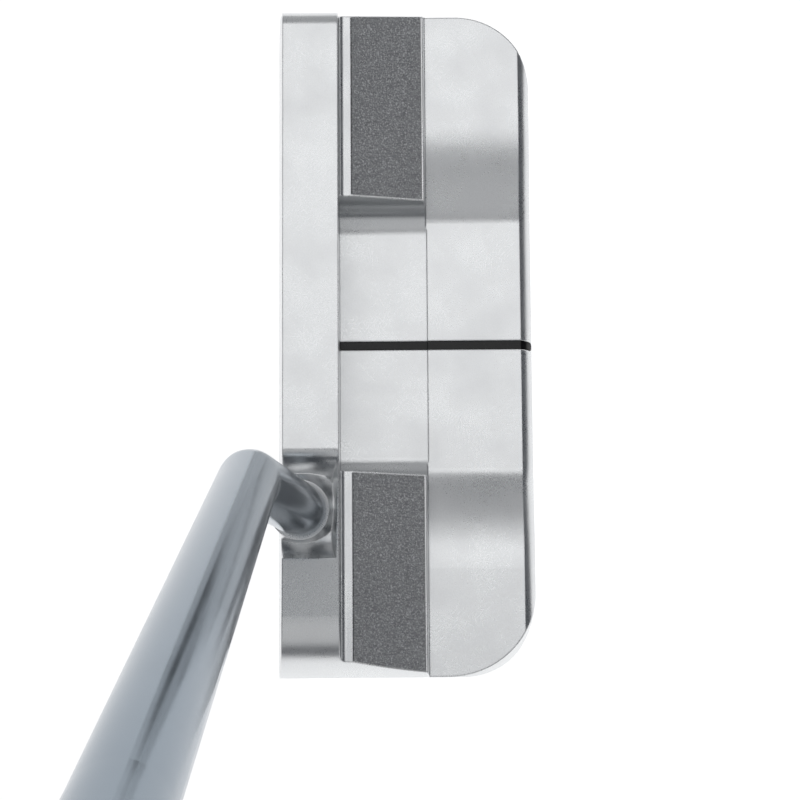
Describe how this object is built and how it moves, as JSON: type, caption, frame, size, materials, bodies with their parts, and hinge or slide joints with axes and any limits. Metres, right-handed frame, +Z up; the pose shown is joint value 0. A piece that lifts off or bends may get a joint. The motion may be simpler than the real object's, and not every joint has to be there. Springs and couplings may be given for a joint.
{
  "type": "blade putter",
  "caption": "Blade putter with toe and heel bumpers, a wide flange with a sight line, a bent shaft set near the heel, a pistol grip and screw-in sole weights.",
  "frame": {"origin": "centre of the flat sole, straight below the sight line", "axes": "+X towards the heel, -Y the way the face looks, +Z up with the sole flat on the ground"},
  "size_m": [0.371, 0.0607, 0.82],
  "materials": {
    "satin_steel": "satin, bead blasted",
    "dark_inlay": "dark, fine grit",
    "sight_paint": "gloss black enamel",
    "chrome_tube": "mirror",
    "epoxy": "cured resin",
    "sole_alloy": "dark anodised",
    "screw_steel": "satin",
    "weight_steel": "turned",
    "washer_nylon": "matte",
    "tape": "matte",
    "grip_rubber": "matte, moulded pattern",
    "cap_rubber": "matte"
  },
  "bodies": {
    "putter": {"head_body": "satin_steel", "toe_bumper_inlay": "dark_inlay", "heel_bumper_inlay": "dark_inlay", "sight_line_paint": "sight_paint", "shaft": "chrome_tube", "shaft_epoxy": "epoxy", "sole_plate": "sole_alloy", "grip_tape": "tape", "grip": "grip_rubber", "grip_end_cap": "cap_rubber", "sole_screw_1": "screw_steel", "sole_screw_2": "screw_steel", "sole_screw_3": "screw_steel", "sole_screw_4": "screw_steel"},
    "toe_washer_carrier": {"toe_weight_washer": "washer_nylon"},
    "toe_weight_screw": {"toe_weight": "weight_steel"},
    "heel_washer_carrier": {"heel_weight_washer": "washer_nylon"},
    "heel_weight_screw": {"heel_weight": "weight_steel"}
  },
  "joints": [
    {"name": "toe_weight_travel", "type": "slide", "parent": "putter", "child": "toe_washer_carrier", "axis": [0, 0, -1], "range_m": [0, 0.005]},
    {"name": "toe_weight_turn", "type": "hinge", "parent": "toe_washer_carrier", "child": "toe_weight_screw", "pos_m": [-0.042, 0, 0.004], "axis": [0, 0, -1], "range_deg": [0, 1802]},
    {"name": "heel_weight_travel", "type": "slide", "parent": "putter", "child": "heel_washer_carrier", "axis": [0, 0, -1], "range_m": [0, 0.005]},
    {"name": "heel_weight_turn", "type": "hinge", "parent": "heel_washer_carrier", "child": "heel_weight_screw", "pos_m": [0.042, 0, 0.004], "axis": [0, 0, -1], "range_deg": [0, 1802]}
  ],
  "couplings": [
    {"joint": "toe_weight_turn", "follows": "toe_weight_travel", "rad_per_m": 6283.2},
    {"joint": "heel_weight_turn", "follows": "heel_weight_travel", "rad_per_m": 6283.2}
  ]
}
